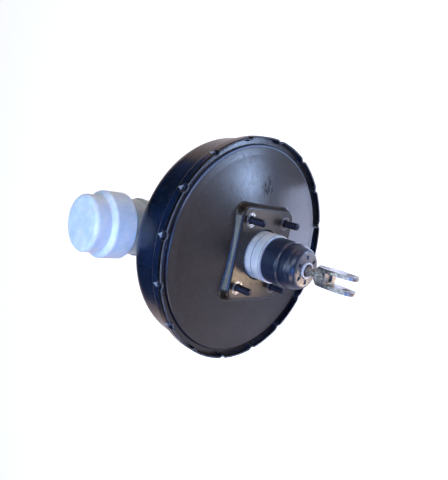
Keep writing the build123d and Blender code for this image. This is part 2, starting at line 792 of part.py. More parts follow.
def cylinder_body():
    """Cast body: bore, flange with two ears, reservoir bosses on top and outlet bosses at the side."""
    flange_outline = make_hull([
        *Circle(cylinder_flange_hub_dia / 2).edges(),
        *[edge for place in front_stud_places for edge in (Pos(*place) * Circle(cylinder_flange_ear)).edges()],
    ])
    body = Pos(0, flange_front_face_y, 0) * extrude(Plane.XZ * flange_outline, cylinder_flange_thick)
    body += rod(cylinder_dia, front_face_y, cylinder_front_y)
    body += rod(cylinder_spigot_dia, cylinder_rear_y, flange_front_face_y)
    for y in inlet_places:
        body += bar_z(inlet_boss_dia, 0, y, 0, inlet_boss_top)
    for y in outlet_places:
        body += bar_x(outlet_boss_dia, y, 0, outlet_face_x, 0)
    body = chamfer(body.faces().sort_by(Axis.Y)[-1].edges(), cylinder_nose_chamfer)
    body -= rod(cylinder_bore_dia, cylinder_rear_y - 1, cylinder_bore_end_y)
    body -= ring(snap_groove_dia, cylinder_bore_dia - 2, snap_y - slip_gap, snap_y + snap_thick + slip_gap)
    body -= ring(o_ring_seat_dia, cylinder_spigot_dia, front_face_y - 1, front_face_y + o_ring_seat_depth)
    for x, z in front_stud_places:
        body -= rod(stud_dia + 2 * flange_hole_gap, front_face_y - 1, flange_front_face_y + 1, x, z)
    for y in inlet_places:
        body -= bar_z(inlet_bore_dia, 0, y, inlet_boss_top - inlet_bore_depth, inlet_boss_top + 1)
        body -= bar_z(feed_hole_dia, 0, y, 0, inlet_boss_top)
    for y in outlet_places:
        body -= bar_x(outlet_hole_dia, y, 0, outlet_face_x - 1, outlet_face_x + outlet_hole_depth)
        body -= bar_x(feed_hole_dia, y, 0, outlet_face_x, 0)
    return body


def o_ring():
    """Square edged ring between the booster's face and the cylinder's flange."""
    return ring(o_ring_seat_dia - 2 * soft_gap, cylinder_spigot_dia + 2 * soft_gap,
                front_face_y + soft_gap, front_face_y + o_ring_seat_depth - soft_gap)


def snap_ring():
    split = ring(snap_groove_dia - 2 * slip_gap, snap_inner_dia, snap_y, snap_y + snap_thick)
    return split - block(-snap_opening / 2, snap_opening / 2, snap_y - 1, snap_y + snap_thick + 1,
                         -snap_groove_dia, 0)


def cylinder_piston(rear, front, socket_y):
    """Spool shaped piston with a groove for a cup near each end and a spring spigot ahead."""
    land = cylinder_bore_dia / 2 - running_gap
    groove = cup_inner_dia / 2 - slip_gap
    spool = spool_dia / 2
    neck = front - spring_spigot
    rear_cup = rear + piston_land
    rear_rib = rear_cup + cup_length + piston_rib
    main_cup = neck - piston_shoulder - cup_length
    main_rib = main_cup - piston_rib
    body = turned(
        (0, rear), (land, rear), (land, rear_cup), (groove, rear_cup), (groove, rear_cup + cup_length),
        (land, rear_cup + cup_length), (land, rear_rib), (spool, rear_rib + piston_slope),
        (spool, main_rib - piston_slope), (land, main_rib), (land, main_cup), (groove, main_cup),
        (groove, main_cup + cup_length), (piston_shoulder_dia / 2, main_cup + cup_length),
        (piston_shoulder_dia / 2, neck), (spring_spigot_dia / 2, neck), (spring_spigot_dia / 2, front), (0, front),
    )
    if socket_y > rear:
        body -= rod(rod_socket_dia, rear - 1, socket_y)
    return body


def cylinder_cups(rear, front):
    """Two rubber cups, open towards the pressure."""
    places = (rear + piston_land, front - spring_spigot - piston_shoulder - cup_length)
    inner = cup_inner_dia / 2 + slip_gap
    outer = cylinder_bore_dia / 2 - soft_gap
    middle = (inner + outer) / 2
    cups = []
    for y in places:
        back = y + soft_gap
        lip = y + cup_length - soft_gap
        root = back + cup_base
        cups.append(turned(
            (inner, back), (outer, back), (outer, lip), (middle + cup_groove_mouth, lip),
            (middle + cup_groove_root, root), (middle - cup_groove_root, root), (middle - cup_groove_mouth, lip),
            (inner, lip),
        ))
    return Compound(children=cups)


def reservoir():
    """Blow moulded bottle: rounded foot on two pipes, a bead, a long neck and a stepped mouth."""
    wall = reservoir_wall
    base_r = reservoir_dia / 2 - reservoir_base_inset
    body_r = reservoir_dia / 2
    bead_r = body_r + reservoir_bead
    neck_r = neck_dia / 2
    mouth_r = neck_top_dia / 2
    base_top = reservoir_base_z + reservoir_base_height
    bead_low = reservoir_bead_z - reservoir_bead_height / 2
    bead_high = reservoir_bead_z + reservoir_bead_height / 2
    neck_low = bead_high + neck_slope
    outer = turned_z((0, reservoir_base_z), (base_r, reservoir_base_z), (body_r, base_top),
                     (body_r, bead_low - reservoir_bead_slope), (bead_r, bead_low), (bead_r, bead_high),
                     (neck_r, neck_low), (neck_r, neck_step_z), (mouth_r, neck_step_z), (mouth_r, neck_top_z),
                     (0, neck_top_z))
    inner = turned_z((0, reservoir_base_z + wall), (base_r - wall, reservoir_base_z + wall), (body_r - wall, base_top),
                     (body_r - wall, reservoir_bead_z), (neck_r - wall, neck_low), (neck_r - wall, neck_step_z - wall),
                     (mouth_r - wall, neck_step_z - wall), (mouth_r - wall, neck_top_z + 1), (0, neck_top_z + 1))
    body = outer - inner
    for y in inlet_places:
        body += bar_z(inlet_pipe_dia, 0, y, inlet_pipe_z, reservoir_base_z + wall / 2)
        body -= bar_z(inlet_pipe_dia - 2 * inlet_pipe_wall, 0, y, inlet_pipe_z - 1, reservoir_base_z + wall + 1)
    root_r = neck_r - wall / 2
    lip_r = neck_r + collar_proud
    low = collar_z - collar_thick / 2
    high = collar_z + collar_thick / 2
    collar = turned_z((root_r, low), (lip_r, low), (lip_r, high), (root_r, high))
    return body + (collar - block(collar_start_x, lip_r + 1, reservoir_y - lip_r - 1, reservoir_y + lip_r + 1,
                                  low - 1, high + 1))


def inlet_grommets():
    grommets = []
    for y in inlet_places:
        bottom = inlet_boss_top - inlet_bore_depth + soft_gap
        top = grommet_top_z
        plug = bar_z(inlet_bore_dia - 2 * soft_gap, 0, y, bottom, top)
        plug += bar_z(inlet_boss_dia - 2 * soft_gap, 0, y, inlet_boss_top + soft_gap, top)
        grommets.append(plug - bar_z(inlet_pipe_dia + 2 * soft_gap, 0, y, bottom - 1, top + 1))
    return Compound(children=grommets)


def reservoir_cap():
    """Screw cap: a wide grip ring over the neck and a narrower crown over the mouth."""
    ring_r = cap_ring_dia / 2
    ring_top = cap_ring_z + cap_ring_height
    line = FilletPolyline((0, cap_top_z), (cap_crown_dia / 2, cap_top_z), (cap_crown_dia / 2, ring_top + cap_slope),
                          (ring_r, ring_top), (ring_r, cap_ring_z),
                          radius=(cap_crown_corner, cap_root_corner, cap_ring_corner))
    outer = Plane.XZ * make_face([*line.edges(), Polyline((ring_r, cap_ring_z), (0, cap_ring_z), (0, cap_top_z))])
    cap = Pos(0, reservoir_y, 0) * revolve(outer, axis=Axis.Z)
    inner_top = cap_top_z - cap_wall
    mouth_r = neck_top_dia / 2 + soft_gap
    step_z = neck_step_z + soft_gap
    cap -= turned_z((0, cap_ring_z - 1), (ring_r - cap_wall, cap_ring_z - 1), (ring_r - cap_wall, step_z),
                    (mouth_r, step_z), (mouth_r, inner_top), (0, inner_top))
    rib_out = neck_top_dia / 2 - cap_seal_inset
    rib_low = neck_top_z + 2 * soft_gap + cap_seal_thick
    return cap + turned_z((rib_out - cap_rib, rib_low), (rib_out, rib_low), (rib_out, inner_top + soft_gap),
                          (rib_out - cap_rib, inner_top + soft_gap))


def cap_seal():
    low = neck_top_z + soft_gap
    high = low + cap_seal_thick
    outer = neck_top_dia / 2 - cap_seal_inset
    return turned_z((outer - cap_seal_width, low), (outer, low), (outer, high), (outer - cap_seal_width, high))


def check_grommet():
    """Rubber bush with a lip on each side of the front shell's sheet."""
    outer_y = front_pad_back_y + soft_gap
    inner_y = front_pad_back_y - front_sheet - soft_gap
    lip = check_flange_dia / 2
    inner_lip = lip - grommet_lip_inset
    neck = check_hole_dia / 2 - soft_gap
    bore = check_body_dia / 2 + soft_gap
    return Pos(check_x, 0, check_z) * turned(
        (bore, inner_y - grommet_lip), (inner_lip, inner_y - grommet_lip), (inner_lip, inner_y), (neck, inner_y),
        (neck, outer_y), (lip, outer_y), (lip, outer_y + grommet_lip), (bore, outer_y + grommet_lip),
    )


def check_valve():
    """Elbowed nozzle that clips into the grommet; a disc inside lets air out only."""
    flange_y = front_pad_back_y + 2 * soft_gap + grommet_lip
    flange_top = flange_y + check_flange_thick
    back = front_pad_back_y - front_sheet - grommet_lip - check_tail
    r = check_body_dia / 2
    head_r = r + check_head_proud
    top = check_elbow_y + check_nipple_dia / 2 + check_crown
    slope_y = top - check_head_slope
    body = turned((0, back), (r, back), (r, flange_y), (check_flange_dia / 2, flange_y),
                  (check_flange_dia / 2, flange_top), (head_r, flange_top), (head_r, slope_y),
                  (head_r - check_head_slope, top), (0, top))
    body = Pos(check_x, 0, check_z) * body
    tip_x = check_x - check_nipple_reach
    body += bar_x(check_shoulder_dia, check_elbow_y, check_z, check_x - check_shoulder_reach, check_x)
    body += bar_x(check_nipple_dia, check_elbow_y, check_z, tip_x, check_x)
    body -= rod(check_nipple_bore_dia, back - 1, check_seat_y, check_x, check_z)
    chamber_end = check_seat_y + check_disc_thick + check_disc_lift + 2 * slip_gap
    body -= rod(check_chamber_dia, check_seat_y, chamber_end, check_x, check_z)
    body -= rod(check_passage_dia, check_seat_y, check_elbow_y, check_x, check_z)
    return body - bar_x(check_nipple_bore_dia, check_elbow_y, check_z, tip_x - 1, check_x)


def check_disc():
    return rod(check_chamber_dia - 2 * soft_gap, check_seat_y + slip_gap, check_seat_y + slip_gap + check_disc_thick,
               check_x, check_z)


nodes = {
    "front_shell": front_shell,
    "rear_shell": rear_shell,
    "rear_plate": rear_plate,
    "rear_studs": rear_studs,
    "rear_seal": rear_seal,
    "rear_bearing": rear_bearing,
    "diaphragm_plate": diaphragm_plate,
    "diaphragm": diaphragm,
    "valve_body": valve_body,
    "stop_key": stop_key,
    "plunger": plunger,
    "poppet": poppet,
    "poppet_retainer": poppet_retainer,
    "poppet_spring": poppet_spring,
    "rod_spring": rod_spring,
    "air_filter": air_filter,
    "boot": boot,
    "boot_end_ring": end_ring,
    "input_rod": input_rod,
    "clevis": clevis,
    "reaction_disc": reaction_disc,
    "output_rod": output_rod,
    "output_rod_retainer": rod_retainer,
    "return_spring": return_spring,
    "front_plate": front_plate,
    "front_studs": front_studs,
    "flange_nuts": flange_nuts,
    "cylinder_body": cylinder_body,
    "cylinder_o_ring": o_ring,
    "cylinder_snap_ring": snap_ring,
    "primary_piston": lambda: cylinder_piston(primary_rear, primary_front, output_tip_y + slip_gap),
    "primary_cups": lambda: cylinder_cups(primary_rear, primary_front),
    "primary_spring": lambda: coil(cylinder_spring_dia, cylinder_spring_wire, primary_front - spring_spigot,
                                   secondary_rear, primary_turns),
    "secondary_piston": lambda: cylinder_piston(secondary_rear, secondary_front, 0),
    "secondary_cups": lambda: cylinder_cups(secondary_rear, secondary_front),
    "secondary_spring": lambda: coil(cylinder_spring_dia, cylinder_spring_wire, secondary_front - spring_spigot,
                                     cylinder_bore_end_y, secondary_turns),
    "reservoir": reservoir,
    "inlet_grommets": inlet_grommets,
    "reservoir_cap": reservoir_cap,
    "cap_seal": cap_seal,
    "check_grommet": check_grommet,
    "check_valve": check_valve,
    "check_disc": check_disc,
}

os.makedirs("parts", exist_ok=True)
for name, make in nodes.items():
    export_step(make(), "parts/" + name + ".step")
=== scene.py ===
import bmesh
import bpy
import numpy as np
from mathutils import Matrix, Vector


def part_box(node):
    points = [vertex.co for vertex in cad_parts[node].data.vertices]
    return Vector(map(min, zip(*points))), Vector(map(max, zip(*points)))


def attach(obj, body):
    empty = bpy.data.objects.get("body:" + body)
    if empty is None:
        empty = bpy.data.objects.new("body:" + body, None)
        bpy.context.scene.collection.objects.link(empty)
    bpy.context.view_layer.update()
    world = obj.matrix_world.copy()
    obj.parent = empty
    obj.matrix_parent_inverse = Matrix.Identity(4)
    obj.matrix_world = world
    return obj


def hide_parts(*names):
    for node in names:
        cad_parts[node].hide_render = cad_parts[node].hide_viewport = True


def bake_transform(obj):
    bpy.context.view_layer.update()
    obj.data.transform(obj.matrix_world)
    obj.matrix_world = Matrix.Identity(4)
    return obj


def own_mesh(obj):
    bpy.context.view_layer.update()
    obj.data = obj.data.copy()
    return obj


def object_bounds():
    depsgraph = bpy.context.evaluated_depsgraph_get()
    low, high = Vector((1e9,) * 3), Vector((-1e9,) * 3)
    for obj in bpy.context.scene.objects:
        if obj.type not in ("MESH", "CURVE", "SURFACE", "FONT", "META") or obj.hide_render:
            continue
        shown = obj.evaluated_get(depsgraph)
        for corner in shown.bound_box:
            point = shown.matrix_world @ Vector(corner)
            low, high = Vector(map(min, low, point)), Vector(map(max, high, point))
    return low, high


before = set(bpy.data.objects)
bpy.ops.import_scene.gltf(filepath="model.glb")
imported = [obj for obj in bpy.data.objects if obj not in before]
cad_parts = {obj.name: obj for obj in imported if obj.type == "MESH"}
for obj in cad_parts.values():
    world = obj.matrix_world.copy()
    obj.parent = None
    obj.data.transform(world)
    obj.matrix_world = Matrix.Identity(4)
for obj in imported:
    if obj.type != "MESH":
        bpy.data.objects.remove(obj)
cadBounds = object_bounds()
mm = 0.001


def linear(hexColour):
    # sRGB hex to the linear colour that shaders take
    parts = [int(hexColour[i:i + 2], 16) / 255 for i in (1, 3, 5)]
    return [c / 12.92 if c <= 0.04045 else ((c + 0.055) / 1.055) ** 2.4 for c in parts] + [1.0]


def addNode(material, kind, settings=None, links=None):
    # one node, its fields or sockets set by name or number, and its incoming links
    node = material.node_tree.nodes.new(kind)
    for key, value in (settings or {}).items():
        if isinstance(key, str) and hasattr(node, key):
            setattr(node, key, value)
        else:
            node.inputs[key].default_value = value
    for key, source in (links or {}).items():
        material.node_tree.links.new(source, node.inputs[key])
    return node


def startMaterial(name):
    material = bpy.data.materials.new(name)
    material.use_nodes = True
    material.node_tree.nodes.clear()
    place = addNode(material, "ShaderNodeTexCoord").outputs["Object"]
    return material, place


def finishMaterial(material, shader):
    addNode(material, "ShaderNodeOutputMaterial", links={"Surface": shader.outputs[0]})
    return material


def numbered(values):
    # plain values apart from sockets, each under the number of its input
    linked = {i: value for i, value in enumerate(values) if isinstance(value, bpy.types.NodeSocket)}
    return {i: value for i, value in enumerate(values) if i not in linked}, linked


def maths(material, operation, *values, clamp=False):
    plain, linked = numbered(values)
    settings = {"operation": operation, "use_clamp": clamp, **plain}
    return addNode(material, "ShaderNodeMath", settings, linked).outputs[0]


def vectorMaths(material, operation, *values):
    # lengths, distances and dot products come out as one number, the rest as a vector
    plain, linked = numbered(values)
    node = addNode(material, "ShaderNodeVectorMath", {"operation": operation, **plain}, linked)
    return node.outputs["Value" if operation in ("LENGTH", "DISTANCE", "DOT_PRODUCT") else "Vector"]


def ramp(material, value, first, last, low=0.0, high=1.0):
    # low where the value is first, high where it is last, level beyond both
    settings = {"From Min": first, "From Max": last, "To Min": low, "To Max": high}
    return addNode(material, "ShaderNodeMapRange", settings, {0: value}).outputs[0]


def noise(material, place, size, detail, roughness=0.5):
    # soft patches of about this size in millimetres
    settings = {"Scale": 1 / (size * mm), "Detail": detail, "Roughness": roughness}
    return addNode(material, "ShaderNodeTexNoise", settings, {"Vector": place}).outputs["Fac"]


def stretchedNoise(material, place, sizes, turn, detail, roughness=0.5):
    # patches of these sizes in millimetres along X, Y and Z
    scale = tuple(1 / (size * mm) for size in sizes)
    lined = addNode(material, "ShaderNodeMapping", {"Rotation": turn, "Scale": scale}, {"Vector": place})
    settings = {"Scale": 1.0, "Detail": detail, "Roughness": roughness}
    return addNode(material, "ShaderNodeTexNoise", settings, {"Vector": lined.outputs[0]}).outputs["Fac"]


def mixed(material, amount, under, over):
    # one colour over another, each a hex colour or a socket, as far as amount says
    settings, links = {"data_type": "RGBA"}, {0: amount}
    for number, colour in ((6, under), (7, over)):
        if isinstance(colour, str):
            settings[number] = linear(colour)
        else:
            links[number] = colour
    return addNode(material, "ShaderNodeMix", settings, links).outputs[2]


def edgeWearAndHighlight(material, reach, gain):
    # how far a softened normal turns from the true one: near 1 along sharp edges, 0 on faces
    soft = addNode(material, "ShaderNodeBevel", {"samples": 6, "Radius": reach * mm}).outputs[0]
    true = addNode(material, "ShaderNodeNewGeometry").outputs["Normal"]
    return soft, ramp(material, vectorMaths(material, "DOT_PRODUCT", soft, true), 1.0, 1.0 - 1.0 / gain)


def mottledFinish(name, look):
    # two close colours in soft patches, a fine grain in the relief, rounded edges with their own wear, dark rings
    material, place = startMaterial(name)
    patches = noise(material, place, look["patch"], 6.0, 0.6)
    grain = noise(material, place, look["grain"], 3.0)
    colour = mixed(material, ramp(material, patches, 0.35, 0.65), look["dark"], look["light"])
    gloss = ramp(material, patches, 0.3, 0.7, *look["rough"])
    softNormal, wear = edgeWearAndHighlight(material, look.get("edge", 0.4), look.get("edgeGain", 3.0))
    if "worn" in look:
        broken = maths(material, "MULTIPLY", wear, grain, clamp=True)
        strong = maths(material, "MULTIPLY", broken, look.get("wornGain", 1.6), clamp=True)
        colour = mixed(material, strong, colour, look["worn"])
    for height, half, shade in look.get("rings", []):
        y = addNode(material, "ShaderNodeSeparateXYZ", {}, {0: place}).outputs["Y"]
        off = maths(material, "ABSOLUTE", maths(material, "SUBTRACT", y, height * mm))
        colour = mixed(material, ramp(material, off, half * mm, 0.55 * half * mm), colour, shade)
    relief = addNode(material, "ShaderNodeBump", {"Strength": look["relief"], "Distance": look["grain"] * mm},
                     {"Height": grain, "Normal": softNormal})
    settings = {"Metallic": look.get("metal", 0.0), **look.get("shader", {})}
    shader = addNode(material, "ShaderNodeBsdfPrincipled", settings,
                     {"Base Color": colour, "Roughness": gloss, "Normal": relief.outputs[0]})
    return finishMaterial(material, shader)


# Moulded nylon, natural white: even, silky, with a little light inside it
whiteNylon = {"dark": "#b4b9be", "light": "#d3d7da", "patch": 14.0, "grain": 0.5, "rough": (0.32, 0.45),
              "relief": 0.05, "edge": 0.15, "rings": [(-7.6, 0.42, "#4a5566"), (-17.8, 0.42, "#56657a")],
              "shader": {"Subsurface Weight": 0.15, "Subsurface Scale": 0.002}}
# Black phosphate on rolled steel studs: blue black, a little oily, bare where the thread's crests rub
phosphate = {"dark": "#0b0d18", "light": "#1b2036", "patch": 3.0, "grain": 0.3, "rough": (0.25, 0.45), "relief": 0.1,
             "metal": 0.5, "worn": "#565a70", "edge": 0.25}
# Drop forged steel, shot blasted and oiled: mid grey skin with fine pits and bright rubbed edges
forged = {"dark": "#6a6660", "light": "#c8c0b6", "patch": 3.5, "grain": 0.9, "rough": (0.3, 0.5), "relief": 0.45,
          "metal": 0.85, "worn": "#dedcde", "edge": 0.6, "edgeGain": 2.5, "wornGain": 2.2}
# Turned bare steel
turnedSteel = {"dark": "#8e9095", "light": "#b4b6ba", "patch": 8.0, "grain": 0.2, "rough": (0.22, 0.34),
               "relief": 0.05, "metal": 1.0}
# Zinc plated steel: pale, even, slightly cloudy
zincPlate = {"dark": "#9a9da0", "light": "#c2c4c4", "patch": 6.0, "grain": 0.4, "rough": (0.28, 0.42),
             "relief": 0.05, "metal": 1.0}
# Oil tempered spring wire
springWire = {"dark": "#2b2d31", "light": "#4a4c50", "patch": 5.0, "grain": 0.3, "rough": (0.3, 0.45),
              "relief": 0.08, "metal": 1.0}
# Natural polypropylene, blow moulded: milky, with light that travels inside the wall
milkyPolypropylene = {"dark": "#cfe0f0", "light": "#eef6fd", "patch": 16.0, "grain": 1.2, "rough": (0.28, 0.4),
                      "relief": 0.04, "edge": 0.8, "shader": {"Subsurface Weight": 0.35, "Subsurface Scale": 0.007}}
# The same material on the bottle, thicker and greyer
greyerPolypropylene = {**milkyPolypropylene, "dark": "#b2b9b5", "light": "#cfd5d0"}
# Die cast aluminium, shot blasted
castAluminium = {"dark": "#8a8c8e", "light": "#b2b4b5", "patch": 10.0, "grain": 0.5, "rough": (0.42, 0.6),
                 "relief": 0.3, "metal": 1.0, "edge": 0.8}
# Hard anodised aluminium, grey
anodised = {"dark": "#5d6166", "light": "#777b80", "patch": 6.0, "grain": 0.3, "rough": (0.3, 0.4), "relief": 0.05,
            "metal": 1.0}
# Polyester felt
felt = {"dark": "#a8a598", "light": "#cfccc0", "patch": 3.0, "grain": 0.4, "rough": (0.85, 0.95), "relief": 0.8}
# Glass filled black nylon, moulded
blackNylon = {"dark": "#0b0c0e", "light": "#17191c", "patch": 8.0, "grain": 0.4, "rough": (0.36, 0.5), "relief": 0.08}
# Natural nylon bush, greyed by grease
bushNylon = {"dark": "#a8a6a6", "light": "#d9dade", "patch": 3.0, "grain": 0.4, "rough": (0.3, 0.45), "relief": 0.08}
# Moulded EPDM rubber kept inside the housing
mouldedRubber = {"dark": "#090b10", "light": "#15181f", "patch": 9.0, "grain": 0.35, "rough": (0.38, 0.55),
                 "relief": 0.06}

finishes = {
    "whiteNylon": (whiteNylon, ["valve_body"]),
    "mouldedRubber": (mouldedRubber, ["boot", "rear_seal", "diaphragm", "poppet", "reaction_disc", "primary_cups",
                                      "secondary_cups", "cylinder_o_ring", "inlet_grommets", "cap_seal",
                                      "check_grommet", "check_disc"]),
    "phosphatedSteel": (phosphate, ["rear_studs", "front_studs"]),
    "forgedSteel": (forged, ["clevis", "input_rod"]),
    "turnedSteel": (turnedSteel, ["plunger", "output_rod", "stop_key"]),
    "zincPlate": (zincPlate, ["rear_plate", "front_plate", "diaphragm_plate", "flange_nuts", "poppet_retainer",
                              "output_rod_retainer"]),
    "springWire": (springWire, ["return_spring", "poppet_spring", "rod_spring", "primary_spring",
                                "secondary_spring", "cylinder_snap_ring"]),
    "milkyPolypropylene": (milkyPolypropylene, ["reservoir_cap"]),
    "greyerBottlePolypropylene": (greyerPolypropylene, ["reservoir"]),
    "castAluminium": (castAluminium, ["cylinder_body"]),
    "anodised": (anodised, ["primary_piston", "secondary_piston"]),
    "felt": (felt, ["air_filter"]),
    "blackNylon": (blackNylon, ["check_valve", "rear_bearing"]),
    "bushNylon": (bushNylon, ["boot_end_ring"]),
}
materials = {}


def keepMaterial(name, material, nodes):
    # kept under its name for the new surfaces, and put on these parts of the frame
    materials[name] = material
    for node in nodes:
        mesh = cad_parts[node].data
        mesh.materials.clear()
        mesh.materials.append(material)


for name, (look, nodes) in finishes.items():
    keepMaterial(name, mottledFinish(name, look), nodes)

# Black stoving paint on drawn steel: satin, with flow marks, handling scratches, dust, and pale edges that are partly
# rubbed paint and partly a painted highlight
paint = {
    "rearPaint": {"nodes": ["rear_shell"], "dark": "#0f0b09", "light": "#211814", "rough": (0.26, 0.36),
                  "coat": 0.0, "scratch": 1.0, "rings": True, "edge": 1.4, "wear": 1.0},
    # the front shell's navy base colours are a painted blue reflection on black paint
    "frontPaint": {"nodes": ["front_shell"], "dark": "#060b17", "light": "#11203c", "rough": (0.18, 0.28),
                   "coat": 0.15, "scratch": 0.4, "rings": False, "edge": 1.3, "wear": 3.2},
}
# Marks on the two shells, in millimetres; each pair is where a mark starts and where it is full
lip = {"bend": (20.5, 18.5), "shade": "#0c0a0a", "dull": 0.3, "sheen": (0.5, 0.1)}
# lances: their cuts are painted light, partly as bare steel and partly as a painted highlight
lances = {"count": 16, "angle": 17.7, "root": 21.8, "tip": 27.5, "from": 21.6, "half": 0.055, "shade": "#8f97a6"}
# shoulder: a painted highlight, a pale blue band round the shoulder that grows towards +X
shoulder = {"inner": (113.9, 114.5), "outer": (116.2, 115.6), "x": (20, 100), "amount": (0.06, 0.8),
            "shade": "#93a3bb"}
scrape = {"spot": (72, 11, -1), "strokeSize": (9, 3, 1.4), "strokeReach": (19, 5), "chipSize": 2.6,
          "chipReach": (34, 10), "shade": "#040506"}
# nut rings: bare steel where the nuts bit, made stronger towards +Z as a painted highlight
nutRings = {"studs": (36.5, 0, 28.5), "reach": (9.6, 9.1), "ripple": 3.2, "z": (-20, 24), "amount": (0.12, 0.9),
            "flake": 3, "shade": "#c8c6c2"}


def lanceCuts(material, apart):
    # 1 on the cut of each lance, painted light partly as bare steel and partly as a painted highlight: a triangle,
    # widest at the root and nothing at the tip
    angle = maths(material, "ARCTAN2", apart["Z"], apart["X"])
    # turns = (angle - lance) / pitch + 1/2, and 8 more to stay positive; a cut is where its fraction is near 1/2
    start = 8.5 - lances["angle"] * lances["count"] / 360
    turns = maths(material, "MULTIPLY_ADD", angle, lances["count"] / (2 * np.pi), start)
    off = maths(material, "ABSOLUTE", maths(material, "SUBTRACT", maths(material, "FRACT", turns), 0.5))
    room = ramp(material, apart["Y"], lances["root"] * mm, lances["tip"] * mm, lances["half"], 0.0)
    inside = maths(material, "LESS_THAN", off, room)
    past = maths(material, "GREATER_THAN", apart["Y"], lances["from"] * mm)
    return maths(material, "MULTIPLY", inside, past)


def shoulderPaintedHighlight(material, place, apart):
    # painted highlight: a pale blue band painted all round the shoulder, strongest where x is large
    radius = vectorMaths(material, "LENGTH", vectorMaths(material, "MULTIPLY", place, (1, 0, 1)))
    inner = ramp(material, radius, *[r * mm for r in shoulder["inner"]])
    outer = ramp(material, radius, *[r * mm for r in shoulder["outer"]])
    high = ramp(material, apart["X"], *[x * mm for x in shoulder["x"]], *shoulder["amount"])
    return maths(material, "MULTIPLY", maths(material, "MULTIPLY", inner, outer), high)


def scrapeMarks(material, place):
    # black strokes along X close to the spot, and black chips that thin out further from it
    far = vectorMaths(material, "DISTANCE", place, tuple(c * mm for c in scrape["spot"]))
    strokes = stretchedNoise(material, place, scrape["strokeSize"], (0, 0.35, 0), 3.0, 0.6)
    close = ramp(material, far, *[r * mm for r in scrape["strokeReach"]], 0.0, 0.19)
    black = ramp(material, maths(material, "ADD", strokes, close), 0.68, 0.72)
    chips = noise(material, place, scrape["chipSize"], 2.0)
    nearby = ramp(material, far, *[r * mm for r in scrape["chipReach"]], 0.0, 0.09)
    return maths(material, "MAXIMUM", black, ramp(material, maths(material, "ADD", chips, nearby), 0.72, 0.76))


def nutBitesAndHighlight(material, place, apart, clouds):
    # bare steel where the nuts' flanges have bitten, its rim broken by the clouds, with paint left in flakes, and made
    # stronger towards +Z as a painted highlight
    folded = vectorMaths(material, "ABSOLUTE", place)
    centred = vectorMaths(material, "SUBTRACT", folded, tuple(c * mm for c in nutRings["studs"]))
    reach = vectorMaths(material, "LENGTH", vectorMaths(material, "MULTIPLY", centred, (1, 0, 1)))
    ripple = maths(material, "MULTIPLY_ADD", clouds, nutRings["ripple"] * mm, reach)
    bare = ramp(material, ripple, *[r * mm for r in nutRings["reach"]])
    # painted highlight: the rings grow stronger towards +Z
    side = ramp(material, apart["Z"], *[z * mm for z in nutRings["z"]], *nutRings["amount"])
    gone = ramp(material, noise(material, place, nutRings["flake"], 4.0), 0.42, 0.56, 0.15)
    return maths(material, "MULTIPLY", maths(material, "MULTIPLY", bare, side), gone)


def stovedPaint(name, look):
    # patches of two blacks, dust, scratches, specks, and pale edges, partly bare and partly a painted highlight; then
    # the marks of the shell that it is on
    material, place = startMaterial(name)
    apart = addNode(material, "ShaderNodeSeparateXYZ", {}, {0: place}).outputs
    colour = mixed(material, ramp(material, noise(material, place, 38, 5.0, 0.55), 0.35, 0.65), look["dark"],
                   look["light"])
    # dust and dried water in soft clouds about 6 mm wide
    clouds = noise(material, place, 6, 8.0, 0.7)
    colour = mixed(material, ramp(material, clouds, 0.52, 0.75, 0.0, 0.06), colour, "#8f8278")
    # scratches up to 14 mm long and under 1 mm wide, coarser than real ones so that they show
    lines = stretchedNoise(material, place, (14, 1, 1), (0.2, 0.5, 0.9), 2.0)
    scratch = ramp(material, lines, 0.70, 0.76, 0.0, look["scratch"])
    cells = addNode(material, "ShaderNodeTexVoronoi", {"Scale": 1 / (7 * mm)}, {"Vector": place})
    marks = maths(material, "MAXIMUM", scratch, ramp(material, cells.outputs["Distance"], 0.10, 0.05))
    gloss = ramp(material, clouds, 0.3, 0.7, *look["rough"])
    matt = addNode(material, "ShaderNodeMix", {3: 0.75}, {0: marks, 2: gloss}).outputs[0]
    softNormal, wear = edgeWearAndHighlight(material, look["edge"], 3.0)
    rubbedAndHighlit = maths(material, "MULTIPLY", wear, look["wear"])
    if not look["rings"]:
        # beyond the bend of the lip the die has left the front shell's paint matt, and only its edge is made pale,
        # partly as rubbed paint and partly as a painted highlight
        bent = ramp(material, apart["Y"], *[y * mm for y in lip["bend"]])
        rubbedAndHighlit = maths(material, "MULTIPLY", rubbedAndHighlit, bent)
        colour = mixed(material, bent, colour, lip["shade"])
    rubbedAndHighlit = maths(material, "MULTIPLY", rubbedAndHighlit, clouds, clamp=True)
    # pale edges: partly rubbed paint, partly a painted highlight
    colour = mixed(material, rubbedAndHighlit, colour, "#9aa0ac")
    if look["rings"]:
        # painted highlight round the shoulder
        colour = mixed(material, shoulderPaintedHighlight(material, place, apart), colour, shoulder["shade"])
        black = scrapeMarks(material, place)
        colour = mixed(material, black, colour, scrape["shade"])
        matt = addNode(material, "ShaderNodeMix", {3: 0.9}, {0: black, 2: matt}).outputs[0]
        bare = nutBitesAndHighlight(material, place, apart, clouds)
        colour = mixed(material, bare, colour, nutRings["shade"])
        finish = {"Metallic": bare, "Roughness": matt}
    else:
        # the lance cuts painted light: bare steel and a painted highlight
        colour = mixed(material, lanceCuts(material, apart), colour, lances["shade"])
        finish = {"Roughness": maths(material, "MULTIPLY_ADD", bent, lip["dull"], matt),
                  "Specular IOR Level": ramp(material, bent, 0.0, 1.0, *lip["sheen"]),
                  "Coat Weight": ramp(material, bent, 0.0, 1.0, look["coat"], 0.0)}
    # orange peel about 1.6 mm from crest to crest
    peel = maths(material, "SUBTRACT", noise(material, place, 1.6, 2.0), marks)
    relief = addNode(material, "ShaderNodeBump", {"Strength": 0.05, "Distance": 0.5 * mm},
                     {"Height": peel, "Normal": softNormal})
    shader = addNode(material, "ShaderNodeBsdfPrincipled",
                     {"Coat Weight": look["coat"], "Coat Roughness": 0.12, "IOR": 1.52},
                     {"Base Color": colour, "Normal": relief.outputs[0], **finish})
    return finishMaterial(material, shader)


for name, look in paint.items():
    keepMaterial(name, stovedPaint(name, look), look["nodes"])
print("materials done")


